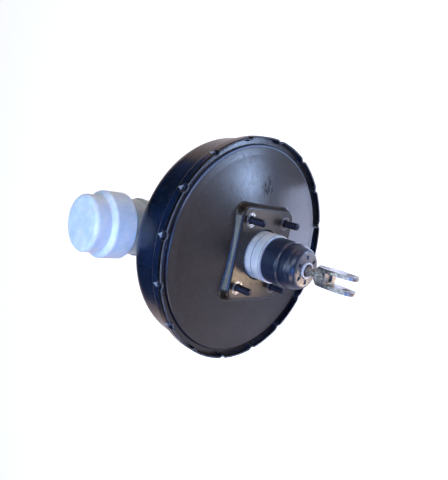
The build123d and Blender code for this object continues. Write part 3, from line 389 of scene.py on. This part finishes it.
def surface(name, grids, material, body, replaced=()):
    # each grid of points (rows, columns, 3) in millimetres becomes quads; columns wrap round, rows don't
    vertices, faces, first = [], [], 0
    for points in grids:
        rows, columns = points.shape[:2]
        r = np.arange(rows - 1)[:, None]
        c = np.arange(columns)[None, :]
        n = (c + 1) % columns
        quads = np.stack([r * columns + c, (r + 1) * columns + c, (r + 1) * columns + n, r * columns + n], -1)
        vertices.append(points.reshape(-1, 3) * mm)
        faces.append(quads.reshape(-1, 4) + first)
        first += rows * columns
    mesh = bpy.data.meshes.new(name)
    mesh.from_pydata(np.concatenate(vertices).tolist(), [], np.concatenate(faces).tolist())
    work = bmesh.new()
    work.from_mesh(mesh)
    bmesh.ops.remove_doubles(work, verts=work.verts, dist=0.002 * mm)
    bmesh.ops.recalc_face_normals(work, faces=work.faces)
    work.to_mesh(mesh)
    work.free()
    mesh.shade_smooth()
    mesh.materials.append(materials[material])
    piece = bpy.data.objects.new(name, mesh)
    bpy.context.scene.collection.objects.link(piece)
    if body:
        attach(piece, body)
    if replaced:
        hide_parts(*replaced)
    return piece


def rounded(corners, radii, steps=6):
    # polyline with each corner replaced by a quadratic curve that starts and ends a radius away from it
    corners = np.array(corners, float)
    out = [corners[:1]]
    t = np.linspace(0, 1, steps)[:, None]
    for before, corner, after, radius in zip(corners[:-2], corners[1:-1], corners[2:], radii):
        start = corner + (before - corner) * min(0.49, radius / max(np.linalg.norm(before - corner), 1e-6))
        end = corner + (after - corner) * min(0.49, radius / max(np.linalg.norm(after - corner), 1e-6))
        out.append((1 - t) ** 2 * start + 2 * t * (1 - t) * corner + t ** 2 * end)
    out.append(corners[-1:])
    return np.concatenate(out)


def closedLoop(corners, radius, steps=5):
    # closed section: the corners are rounded in turn, starting half way along the last side
    corners = np.array(corners, float)
    middle = (corners[-1] + corners[0]) / 2
    return rounded(np.concatenate([[middle], corners, [middle]]), [radius] * len(corners), steps)


def dense(line, step):
    # the same line with points no further apart than step
    length = np.concatenate([[0], np.cumsum(np.linalg.norm(np.diff(line, axis=0), axis=1))])
    extra = np.arange(0, length[-1], step)
    along = np.unique(np.concatenate([length, extra]).round(5))
    return np.stack([np.interp(along, length, line[:, i]) for i in (0, 1)], -1)


def aboutY(radius, y, angle, x=0.0, z=0.0):
    # a point at this radius and angle round a line parallel to Y
    return np.stack(np.broadcast_arrays(x + radius * np.cos(angle), y, z + radius * np.sin(angle)), -1)


def circle(count):
    # angles of one turn, as one row
    return np.linspace(0, 2 * np.pi, count, endpoint=False)[None, :]


def turned(line, angle, x=0.0, z=0.0):
    # a line of radii and heights carried round an axis parallel to Y
    return aboutY(line[:, :1], line[:, 1:], angle, x, z)


# Studs: M8, 1.25 mm pitch, rolled, with a chamfered start and a collar
studs = {"pitch": 1.25, "depth": 0.66, "crest": 3.98, "chamfer": 0.85, "plain": 1.6, "runIn": 1.2, "around": 40,
         "step": 0.12, "collar": 6.45, "collarDepth": 3.0}


def studSurface(x, z, seat, face, tip):
    # radius = crest less a rounded saw wave of (height / pitch - turns), fading out at the collar, less the chamfer
    ahead = np.sign(tip - seat)
    y = np.arange(0, abs(tip - face), studs["step"])
    y = np.append(y, abs(tip - face))
    angle, crest = circle(studs["around"]), studs["crest"]
    phase = (y[:, None] / studs["pitch"] - ahead * angle / (2 * np.pi)) % 1.0
    wave = np.clip(np.abs(phase - 0.5) * 2 * 1.35 - 0.1, 0, 1)
    fade = np.clip((y - studs["plain"]) / studs["runIn"], 0, 1)[:, None]
    chamfer = np.clip(studs["chamfer"] - (y[-1] - y), 0, studs["chamfer"])[:, None]
    radius = np.clip(crest - studs["depth"] * (1 - wave) * fade - chamfer, 0.4, crest)
    shank = aboutY(radius, face + ahead * y[:, None], angle, x, z)
    back, collar = seat - ahead * studs["collarDepth"], studs["collar"]
    head = np.array([(0.0, back), (collar - 0.45, back), (collar, back + ahead * 0.5), (collar, seat - ahead * 0.3),
                     (collar - 0.35, seat), (crest + 0.37, seat), (crest + 0.37, face - ahead * 0.2), (crest, face)])
    end = aboutY(np.zeros((1, 1)), np.full((1, 1), face + ahead * y[-1]), angle, x, z)
    return np.concatenate([turned(head, angle, x, z), shank, end])


studPlaces = [(sx * 36.5, sz * 28.5) for sx in (-1, 1) for sz in (-1, 1)]
surface("rearStudsThreaded", [studSurface(x, z, 4.2, 0.0, -18.0) for x, z in studPlaces], "phosphatedSteel", "housing",
        ["rear_studs"])
surface("frontStudsThreaded", [studSurface(x, 0.0, 74.0, 78.0, 96.0) for x in (-38.0, 38.0)], "phosphatedSteel",
        "housing", ["front_studs"])
print("studs done")


# Springs: mean diameter, wire, first and last y, turns; each is carried by its body
springs = {
    "returnSpringWound": {
        "node": "return_spring", "body": "power_piston", "across": 54.0, "wire": 3.4, "y": (28.4, 74.0), "turns": 4.5,
        "joint": "piston_slide", "held": 28.4, "travel": 28.0},
    "primarySpringWound": {
        "node": "primary_spring", "body": "primary_plunger", "across": 14.0, "wire": 1.6, "y": (101.7, 125.0),
        "turns": 5, "joint": "primary_slide", "held": 101.7, "travel": 14.0},
    "secondarySpringWound": {
        "node": "secondary_spring", "body": "secondary_plunger", "across": 14.0, "wire": 1.6, "y": (145.7, 181.0),
        "turns": 6, "joint": "secondary_slide", "held": 145.7, "travel": 14.0},
    "rodSpringWound": {
        "node": "rod_spring", "body": "power_piston", "across": 16.0, "wire": 1.5, "y": (-19.95, -7.65), "turns": 4,
        "joint": "valve_slide", "held": -7.65, "travel": 1.5},
}


def coilSurface(look):
    # a circle of wire carried round a helix: its centre turns about Y at the mean radius and rises evenly
    first, last = look["y"]
    turn = np.linspace(0, 2 * np.pi * look["turns"], int(48 * look["turns"]) + 1)
    around = circle(12)[:, :, None]
    mean, thick = look["across"] / 2, look["wire"] / 2
    rise = (last - first - look["wire"]) / turn[-1]
    outward = np.stack([np.cos(turn), 0 * turn, -np.sin(turn)], -1)
    onward = np.stack([-mean * np.sin(turn), rise + 0 * turn, -mean * np.cos(turn)], -1)
    onward /= np.linalg.norm(onward, axis=1, keepdims=True)
    sideways = np.cross(onward, outward)
    centre = mean * outward + np.stack([0 * turn, first + thick + rise * turn, 0 * turn], -1)
    tube = (centre[:, None, :] + thick * np.cos(around) * outward[:, None, :]
            + thick * np.sin(around) * sideways[:, None, :])
    ends = [np.repeat(centre[[i], None, :], around.shape[1], axis=1) for i in (0, -1)]
    return np.concatenate([ends[0], tube, ends[1]])


for name, look in springs.items():
    coil = surface(name, [coilSurface(look)], "springWire", look["body"], [look["node"]])
    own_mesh(coil)

# Diaphragm, 1.5 mm rubber: the skin on the plate travels with it, while the outer wall from the clamped bead stays
# where it is; they meet at the crest of the fold
diaphragm = {"step": 1.2, "around": 180}
skinLine = rounded([(26.55, 22.6), (26.55, 19.9), (31.0, 19.9), (31.0, 21.9), (107.0, 21.9), (107.0, 42.5),
                    (111.65, 42.5), (111.65, 44.0), (105.5, 44.0), (105.5, 23.4), (26.55, 23.4), (26.55, 22.6)],
                   [0.5, 0.8, 0.6, 5.8, 2.0, 0.1, 0.1, 2.0, 4.3, 0.1])
rollLine = rounded([(111.65, 43.2), (111.65, 42.5), (116.3, 42.5), (116.3, 24.4), (123.3, 24.4), (123.3, 26.8),
                    (122.1, 28.0), (119.0, 28.0), (117.8, 26.8), (117.8, 44.0), (111.65, 44.0), (111.65, 43.2)],
                   [0.1, 2.5, 0.3, 0.5, 0.6, 0.6, 0.6, 0.6, 4.0, 0.1])
spin = circle(diaphragm["around"])
skin = surface("diaphragmSkin", [turned(dense(skinLine, diaphragm["step"]), spin)], "mouldedRubber", "power_piston",
               ["diaphragm"])
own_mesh(skin)
roll = surface("diaphragmRoll", [turned(dense(rollLine, diaphragm["step"]), spin)], "mouldedRubber", None,
               ["diaphragm"])
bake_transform(roll)
print("springs and diaphragm done")

# Boot: moulded rubber bellows; radii and heights in millimetres, with slots for the valve's air in its end
boot = {"mouth": (24.45, -19.9), "firstFold": -40.8, "secondFold": -52.4, "end": -59.95, "endRadius": 18.4,
        "hole": 8.75, "wall": 1.7, "dust": (-58.9, -59.6), "slots": 6, "slotFrom": 10.4, "slotTo": 15.4,
        "slotHalf": 1.9, "slotDepth": 1.3, "slotTurn": 0.35, "slotSide": 0.35, "slotEnd": 0.4, "seamHeight": 0.05,
        "seamWidth": 0.35, "seamFrom": 17, "fine": 0.45, "coarse": 1.5, "around": 240}


# Moulded EPDM rubber: blue black with a soft sheen, greyed by road dust on the end face
def dustyRubber():
    # dust weight grows with depth past the last fold along Y and in soft patches
    material, place = startMaterial("dustyRubber")
    y = addNode(material, "ShaderNodeSeparateXYZ", {}, {0: place}).outputs["Y"]
    patches = noise(material, place, 7, 5.0, 0.6)
    past = ramp(material, y, *[depth * mm for depth in boot["dust"]])
    weight = maths(material, "MULTIPLY", past, maths(material, "MULTIPLY", patches, 1.5, clamp=True))
    colour = mixed(material, weight, mixed(material, patches, "#0e1728", "#232e43"), "#6e6a68")
    relief = addNode(material, "ShaderNodeBump", {"Strength": 0.12, "Distance": 0.3 * mm},
                     {"Height": noise(material, place, 0.5, 3.0)})
    shader = addNode(material, "ShaderNodeBsdfPrincipled", {"IOR": 1.52},
                     {"Base Color": colour, "Roughness": ramp(material, patches, 0.0, 1.0, 0.26, 0.42),
                      "Normal": relief.outputs[0]})
    return finishMaterial(material, shader)


materials["dustyRubber"] = dustyRubber()


def bootSurface():
    # a turned section, outside then inside; on the end face the height is pressed in inside each slot
    mouth, y0 = boot["mouth"]
    f1, f2, end = boot["firstFold"], boot["secondFold"], boot["end"]
    outside = rounded([(mouth - 0.3, y0), (mouth, y0 - 0.4), (mouth, f1 + 2.6), (mouth - 1.7, f1),
                       (mouth - 0.45, f1 - 2.6), (mouth - 1.0, f2 + 2.6), (mouth - 2.15, f2), (mouth - 2.5, f2 - 2.4),
                       (boot["endRadius"] + 0.4, end), (boot["hole"], end)],
                      [0.2, 1.4, 1.3, 1.6, 1.6, 1.3, 1.5, 3.2])
    wall = boot["wall"]
    inside = rounded([(boot["hole"], end + wall), (boot["endRadius"] - 0.9, end + wall), (mouth - 1.8 - wall, f2 - 2.0),
                      (mouth - 2.6 - wall, f2), (mouth - 0.9 - wall, f2 + 2.4), (mouth - 0.45 - wall, f1 - 2.4),
                      (mouth - 1.7 - wall, f1), (mouth - wall, f1 + 2.4), (mouth - wall, y0), (mouth - 0.3, y0)],
                     [1.5, 1.2, 1.2, 1.2, 1.2, 1.2, 1.2, 0.3])
    outside = dense(outside, boot["fine"])
    line = np.concatenate([outside, dense(inside, boot["coarse"])])
    angle = circle(boot["around"])
    radius, y = line[:, :1], line[:, 1:]
    pitch = 2 * np.pi / boot["slots"]
    turn = (angle + boot["slotTurn"]) % pitch - pitch / 2
    across = np.abs(turn) * radius
    inSlot = (np.clip((boot["slotHalf"] - across) / boot["slotSide"], 0, 1)
              * np.clip((radius - boot["slotFrom"]) / boot["slotEnd"], 0, 1)
              * np.clip((boot["slotTo"] - radius) / boot["slotEnd"], 0, 1))
    face = np.zeros_like(y)
    face[:len(outside)] = 1.0
    y = y + boot["slotDepth"] * inSlot * face * (y < end + 0.6)
    # two mould lines, 0.05 mm proud and about 0.7 mm wide, along the barrel
    seam = sum(np.exp(-((angle - side * np.pi) * radius / boot["seamWidth"]) ** 2) for side in (0.5, 1.5))
    radius = radius + boot["seamHeight"] * seam * face * (radius > boot["seamFrom"])
    return aboutY(radius, y, angle)


surface("bootBellows", [bootSurface()], "dustyRubber", "power_piston", ["boot"])

# Seal: a soft U section that wipes the sleeve, with a rounded lip and a wiper groove
seal = {"inner": 26.6, "outer": 30.65, "back": 1.95, "front": 11.1}
bottom = [(seal["inner"], 2.3), (27.3, seal["back"]), (28.4, 2.9), (29.6, seal["back"]), (seal["outer"], 2.4),
          (seal["outer"], seal["front"]), (29.5, seal["front"]), (29.3, 4.7), (28.1, 4.7), (28.0, 9.8),
          (seal["inner"], 9.8)]
surface("sealLips", [turned(closedLoop(bottom, 0.5), circle(160))], "mouldedRubber", "housing", ["rear_seal"])
print("boot and seal done")

# Grommets: turned sections with soft corners
grommets = {"places": (92.0, 134.0), "plug": 8.2, "flange": 10.6, "bore": 5.95, "low": 18.4, "step": 27.35,
            "top": 29.2, "check": (-58.0, -48.0)}


def inletGrommet(y):
    section = closedLoop([(grommets["bore"], grommets["low"]), (grommets["plug"] - 0.5, grommets["low"]),
                          (grommets["plug"], grommets["low"] + 1.0), (grommets["plug"], grommets["step"]),
                          (grommets["flange"], grommets["step"]), (grommets["flange"], grommets["top"]),
                          (grommets["bore"], grommets["top"])], 0.5)
    angle = circle(72)
    radius, height = section[:, :1], section[:, 1:]
    return np.stack(np.broadcast_arrays(radius * np.cos(angle), y + radius * np.sin(angle), height), -1)


surface("inletGrommetsTurned", [inletGrommet(y) for y in grommets["places"]], "mouldedRubber", "housing",
        ["inlet_grommets"])
low, high = [c * 1000 for c in (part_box("check_grommet")[0][1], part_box("check_grommet")[1][1])]
section = closedLoop([(7.85, low), (11.6, low), (12.15, low + 0.9), (12.15, low + 2.15), (9.7, low + 2.2),
                      (9.7, high - 2.2), (12.95, high - 2.15), (12.95, high - 0.6), (12.2, high), (7.85, high)], 0.4)
surface("checkGrommetTurned", [turned(section, circle(96), *grommets["check"])], "mouldedRubber", "housing",
        ["check_grommet"])
print("grommets done")

# Flash line left by the forging dies on the clevis: a low ridge along both sides of the hub and shoulders
flash = {"height": 0.32, "half": 0.55, "sunk": 0.12, "side": (10.0, -75.8), "shoulder": (11.25, -88.2)}


def flashRidge(side):
    # a ridge whose height and half width shrink to nothing at both ends, carried along the hub's side
    t = np.linspace(0, 1, 48)[:, None]
    z = flash["side"][0] + (flash["shoulder"][0] - flash["side"][0]) * t ** 2 * (3 - 2 * t) - flash["sunk"]
    y = flash["side"][1] + (flash["shoulder"][1] - flash["side"][1]) * t
    swell = np.sin(np.pi * t) ** 0.5 * (1 + 0.15 * np.sin(31 * t) + 0.1 * np.sin(53 * t + 1))
    ring = np.array([(1, -0.6), (0.45, 0.5), (0, 1), (-0.45, 0.5), (-1, -0.6)])
    x = swell * ring[None, :, 0] * flash["half"]
    rise = swell * ring[None, :, 1] * flash["height"]
    return np.stack([x, np.broadcast_to(y, x.shape), side * (z + rise)], -1)


surface("clevisFlash", [flashRidge(1), flashRidge(-1)], "forgedSteel", "push_rod")
print("clevis done")

# Camera: places in millimetres in the part's frame
view = {"place": (79.7, -337.3, 415.8), "right": (0.2013, -0.6887, -0.6965), "up": (0.9703, 0.2375, 0.0457),
        "lens": 37.3, "sensor": 36}


def makeCamera():
    data = bpy.data.cameras.new("camera")
    data.lens = view["lens"]
    data.sensor_width = view["sensor"]
    data.clip_start = 0.01
    camera = bpy.data.objects.new("camera", data)
    bpy.context.scene.collection.objects.link(camera)
    right = Vector(view["right"]).normalized()
    up = Vector(view["up"])
    up = (up - up.dot(right) * right).normalized()
    back = right.cross(up)
    rotation = Matrix((right, up, back)).transposed().to_4x4()
    camera.matrix_world = Matrix.Translation(Vector(view["place"]) * mm) @ rotation
    bpy.context.scene.camera = camera


makeCamera()

# Floor: half width in metres, brightness, and a painted shadow in its reflections, which darken between 0.34 and 0.14 m
# from (0.06, -0.05)
sheet = {"half": 6.0, "power": 0.85, "shift": (-0.06, 0.05, 0.0), "reach": (0.14, 0.34), "amount": (0.14, 0.62)}


def makeFloor():
    # a wide plain sheet just under the part: white to the camera and glass rays, with the part's shadow on it; to
    # glossy rays it shows a painted warm reflection, darkened near the part by a painted shadow
    low, half = cadBounds[0][2], sheet["half"]
    mesh = bpy.data.meshes.new("floor")
    mesh.from_pydata([(-half, -half, low), (half, -half, low), (half, half, low), (-half, half, low)], [],
                     [(0, 1, 2, 3)])
    floor = bpy.data.objects.new("floor", mesh)
    bpy.context.scene.collection.objects.link(floor)
    material, place = startMaterial("paleFloor")
    paths = addNode(material, "ShaderNodeLightPath").outputs
    glossy = paths["Is Glossy Ray"]
    seen = maths(material, "MAXIMUM", paths["Is Camera Ray"], paths["Is Transmission Ray"])
    seen = maths(material, "MAXIMUM", seen, glossy)
    # painted shadow: in reflections the sheet is dimmed towards the part
    flat = vectorMaths(material, "MULTIPLY_ADD", place, (1.0, 1.0, 0.0), sheet["shift"])
    fade = ramp(material, vectorMaths(material, "LENGTH", flat), *sheet["reach"], *sheet["amount"])
    mirrorWithPaintedShadow = addNode(material, "ShaderNodeMix", {"data_type": "FLOAT", 2: 1.0}, {0: glossy, 3: fade}).outputs[0]
    # painted reflection: glossy rays see the sheet tinted warm
    paintedWarmTint = mixed(material, glossy, "#ffffff", "#ffdcc6")
    power = maths(material, "MULTIPLY", mirrorWithPaintedShadow, sheet["power"])
    glow = addNode(material, "ShaderNodeEmission", {}, {"Color": paintedWarmTint, "Strength": power})
    matt = addNode(material, "ShaderNodeBsdfDiffuse", {"Color": linear("#e6e6e6")})
    dark = addNode(material, "ShaderNodeEmission", {"Strength": 0.0})
    choose = addNode(material, "ShaderNodeMixShader", {}, {0: seen, 1: dark.outputs[0], 2: glow.outputs[0]})
    both = addNode(material, "ShaderNodeAddShader", {}, {0: matt.outputs[0], 1: choose.outputs[0]})
    mesh.materials.append(finishMaterial(material, both))


makeFloor()

# Soft boxes: place, what each faces, size in metres, radiance, colour
lamps = {
    "lowFront": {"place": (0.130, -0.160, -0.118), "target": (0.130, -0.160, 1.0), "size": (0.055, 0.085),
                 "radiance": 27.0, "colour": "#b4d0ff"},
    "lowFar": {"place": (0.145, -0.290, -0.118), "target": (0.145, -0.290, 1.0), "size": (0.07, 0.14),
               "radiance": 2.5, "colour": "#b6d2ff"},
    "lowMid": {"place": (0.105, -0.070, -0.118), "target": (0.105, -0.070, 1.0), "size": (0.05, 0.05),
               "radiance": 0.4, "colour": "#9cc2ff"},
    "lowRight": {"place": (0.034, -0.002, -0.119), "target": (0.034, -0.002, 1.0), "size": (0.11, 0.07),
                 "radiance": 3.3, "colour": "#ccd8ff"},
    "warmLow": {"place": (-0.060, -0.140, -0.119), "target": (-0.060, -0.140, 1.0), "size": (0.05, 0.05),
                "radiance": 18.0, "colour": "#ffdcb4"},
    "lowMiddle": {"place": (0.034, -0.122, -0.120), "target": (0.034, -0.122, 1.0), "size": (0.05, 0.05),
                  "radiance": 4.0, "colour": "#f4ecea"},
    "key": {"place": (0.42, -0.42, 0.62), "target": (0, 0, 0), "size": (0.25, 0.25), "radiance": 9.0,
            "colour": "#e6eefa"},
    "overhead": {"place": (-0.10, 0.03, 0.80), "target": (0, 0, 0), "size": (0.30, 0.30), "radiance": 11.0,
                 "colour": "#c4dcfa"},
    "overheadPedal": {"place": (0.20, -0.22, 0.75), "target": (0, 0, 0), "size": (0.30, 0.30), "radiance": 3.5,
                      "colour": "#e8f0fa"},
    "topSide": {"place": (0.62, -0.10, 0.10), "target": (0.05, 0.0, 0.0), "size": (0.22, 0.22), "radiance": 3.0,
                "colour": "#ffd0b4"},
    "lowerSide": {"place": (-0.55, -0.30, 0.35), "target": (0, 0, 0), "size": (0.25, 0.25), "radiance": 7.0,
                  "colour": "#fcece4"},
    "blueWindow": {"place": (-0.17, -0.52, 0.50), "target": (0, -0.05, 0.0), "size": (0.15, 0.15), "radiance": 42.0,
                   "colour": "#4a90ff"},
}


def softBox(name, look):
    # a rectangular lamp whose power gives it the wanted radiance: power = radiance * pi * area
    data = bpy.data.lights.new(name, "AREA")
    data.shape = "RECTANGLE"
    data.size, data.size_y = look["size"]
    data.energy = look["radiance"] * np.pi * look["size"][0] * look["size"][1]
    data.color = linear(look["colour"])[:3]
    lamp = bpy.data.objects.new(name, data)
    bpy.context.scene.collection.objects.link(lamp)
    lamp.location = look["place"]
    lamp.rotation_euler = (Vector(look["target"]) - Vector(look["place"])).to_track_quat("-Z", "Y").to_euler()
    lamp.visible_camera = False


for name, look in lamps.items():
    softBox(name, look)

# World: the way it turns from grey to blue, where along it, both colours and the strength
sky = {"ahead": (0.0, 0.8, 0.6), "reach": (-0.4, 0.9), "behind": "#a2a29a", "front": "#3a5474", "strength": 0.412}


def makeWorld():
    # blue towards the front and above, a dim warm grey towards the pedal side
    world = bpy.data.worlds.new("studio")
    bpy.context.scene.world = world
    world.use_nodes = True
    world.node_tree.nodes.clear()
    place = addNode(world, "ShaderNodeTexCoord").outputs["Generated"]
    ahead = vectorMaths(world, "DOT_PRODUCT", place, sky["ahead"])
    colour = mixed(world, ramp(world, ahead, *sky["reach"]), sky["behind"], sky["front"])
    glow = addNode(world, "ShaderNodeBackground", {"Strength": sky["strength"]}, {"Color": colour})
    addNode(world, "ShaderNodeOutputWorld", {}, {"Surface": glow.outputs[0]})


makeWorld()
bpy.context.scene.view_settings.view_transform = "Standard"
print("stage done")
